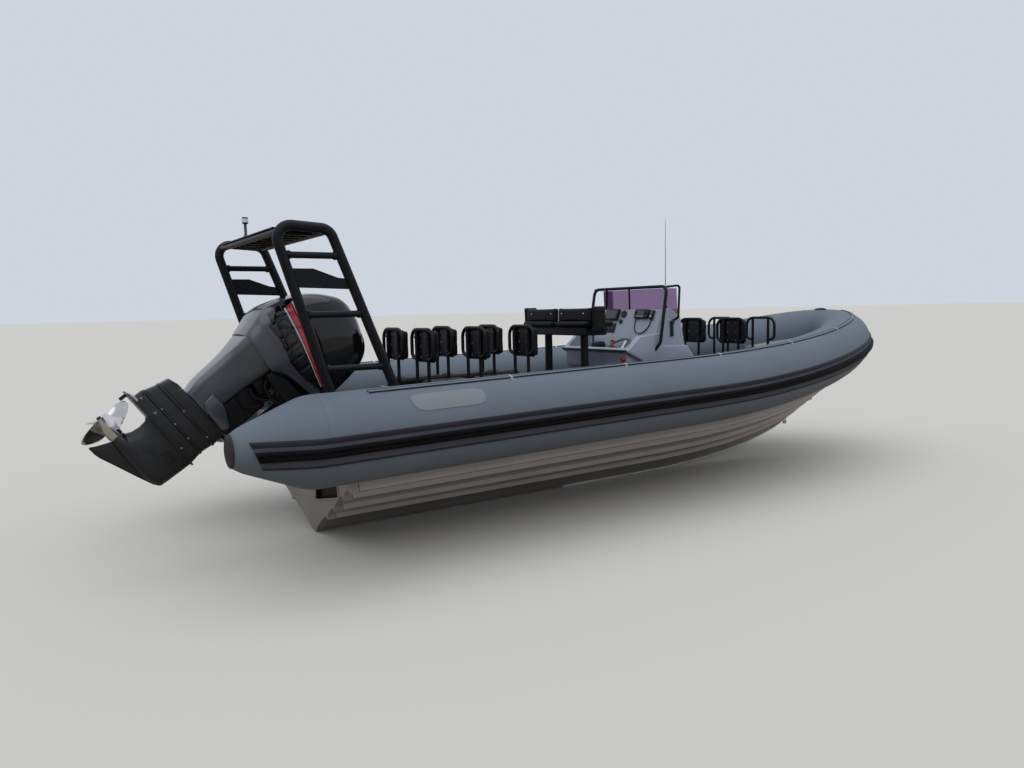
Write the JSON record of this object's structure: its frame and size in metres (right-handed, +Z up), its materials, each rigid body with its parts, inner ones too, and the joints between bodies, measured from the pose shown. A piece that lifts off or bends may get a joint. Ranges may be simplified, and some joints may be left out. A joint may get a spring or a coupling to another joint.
{
  "type": "rigid inflatable boat",
  "caption": "Grey rigid inflatable boat with a deep V hull, stern arch, jockey seats, centre console and one outboard tilted up at the transom.",
  "frame": {"origin": "on the design waterline, on the centreline, above the transom foot", "axes": "+X forward to the bow, +Y to port, +Z up"},
  "size_m": [7.6014, 2.6626, 2.2924],
  "materials": {
    "tube": "matt blue-grey coated fabric",
    "rail": "dark grey rubber",
    "strip": "black rubber",
    "hull_grp": "pale grey gelcoat",
    "deck_grip": "non-slip deck",
    "guard": "pale wear strip",
    "steel": "stainless",
    "black_tube": "black powder coat",
    "vinyl": "black marine vinyl",
    "pod": "dark grey gelcoat",
    "console_grp": "light grey gelcoat",
    "screen": "purple tint",
    "instrument": "black plastic",
    "cowl_black": "gloss black",
    "engine_grey": "dark blue-grey satin",
    "prop": "polished stainless",
    "anode": "dull cast",
    "lamp": "white lens"
  },
  "bodies": {
    "boat": {"tube_collar": "tube", "cone_caps": "strip", "rub_rail": "rail", "rub_rail_insert": "strip", "tube_bead": "tube", "hull": "hull_grp", "deck": "deck_grip", "transom": "hull_grp", "keel_guard": "guard", "bow_eye": "steel", "stern_eyes": "steel", "bow_cleat": "black_tube", "arch_side_starboard": "black_tube", "arch_side_port": "black_tube", "arch_cross_tubes": "black_tube", "arch_side_plates": "black_tube", "arch_roof_tray": "black_tube", "nav_light": "lamp", "seat_pods": "pod", "backrest_hoops": "black_tube", "backrest_pads": "vinyl", "seat_cushions": "vinyl", "helm_seat_frame": "black_tube", "helm_squabs": "vinyl", "helm_back_panels": "instrument", "helm_bolsters": "vinyl", "console": "console_grp", "console_base": "console_grp", "windscreen": "screen", "screen_frame": "black_tube", "chart_plotter": "instrument", "dash_gauges": "instrument", "radio": "instrument", "radio_microphone": "instrument", "microphone_lead": "instrument", "helm_boss": "instrument", "throttle": "instrument", "antenna": "lamp", "bow_locker": "pod", "clamp_brackets": "engine_grey"},
    "swivel_bracket": {"swivel_bracket": "engine_grey"},
    "outboard": {"steering_yoke": "engine_grey", "midsection": "engine_grey", "lower_cowl": "engine_grey", "upper_cowl": "cowl_black", "leg_extension": "engine_grey", "anti_ventilation_plate": "engine_grey", "gearcase": "engine_grey", "trim_tab": "engine_grey", "anodes": "anode"},
    "propeller": {"propeller": "prop"},
    "steering_wheel": {"steering_wheel": "instrument"},
    "ram_barrel": {"tilt_ram_barrel": "engine_grey"},
    "ram_rod": {"tilt_ram_rod": "steel"}
  },
  "joints": [
    {"name": "tilt", "type": "hinge", "parent": "boat", "child": "swivel_bracket", "pos_m": [-0.14, 0, 0.35], "axis": [0, 1, 0], "range_deg": [-58, 16]},
    {"name": "steer", "type": "hinge", "parent": "swivel_bracket", "child": "outboard", "pos_m": [-0.37822, 0, 0.33761], "axis": [0.809, 0, 0.5878], "range_deg": [-30, 30]},
    {"name": "propeller_spin", "type": "hinge", "parent": "outboard", "child": "propeller", "pos_m": [-1.26065, 0, 0.42082], "axis": [-0.5878, 0, 0.809], "continuous": true},
    {"name": "helm_turn", "type": "hinge", "parent": "boat", "child": "steering_wheel", "pos_m": [2.742, -0.12, 0.702], "axis": [-0.6428, 0, 0.766], "range_deg": [-360, 360]},
    {"name": "ram_swing", "type": "hinge", "parent": "boat", "child": "ram_barrel", "pos_m": [-0.14, 0, 0.02], "axis": [0, 1, 0], "range_deg": [-1, 3]},
    {"name": "ram_extend", "type": "slide", "parent": "ram_barrel", "child": "ram_rod", "axis": [-0.266, 0, 0.964], "range_m": [-0.085, 0.0235]}
  ],
  "couplings": [
    {"joint": "helm_turn", "follows": "steer", "ratio": -12},
    {"joint": "ram_swing", "follows": "tilt", "ratio": -0.05},
    {"joint": "ram_extend", "follows": "tilt", "m_per_rad": 0.0835}
  ]
}
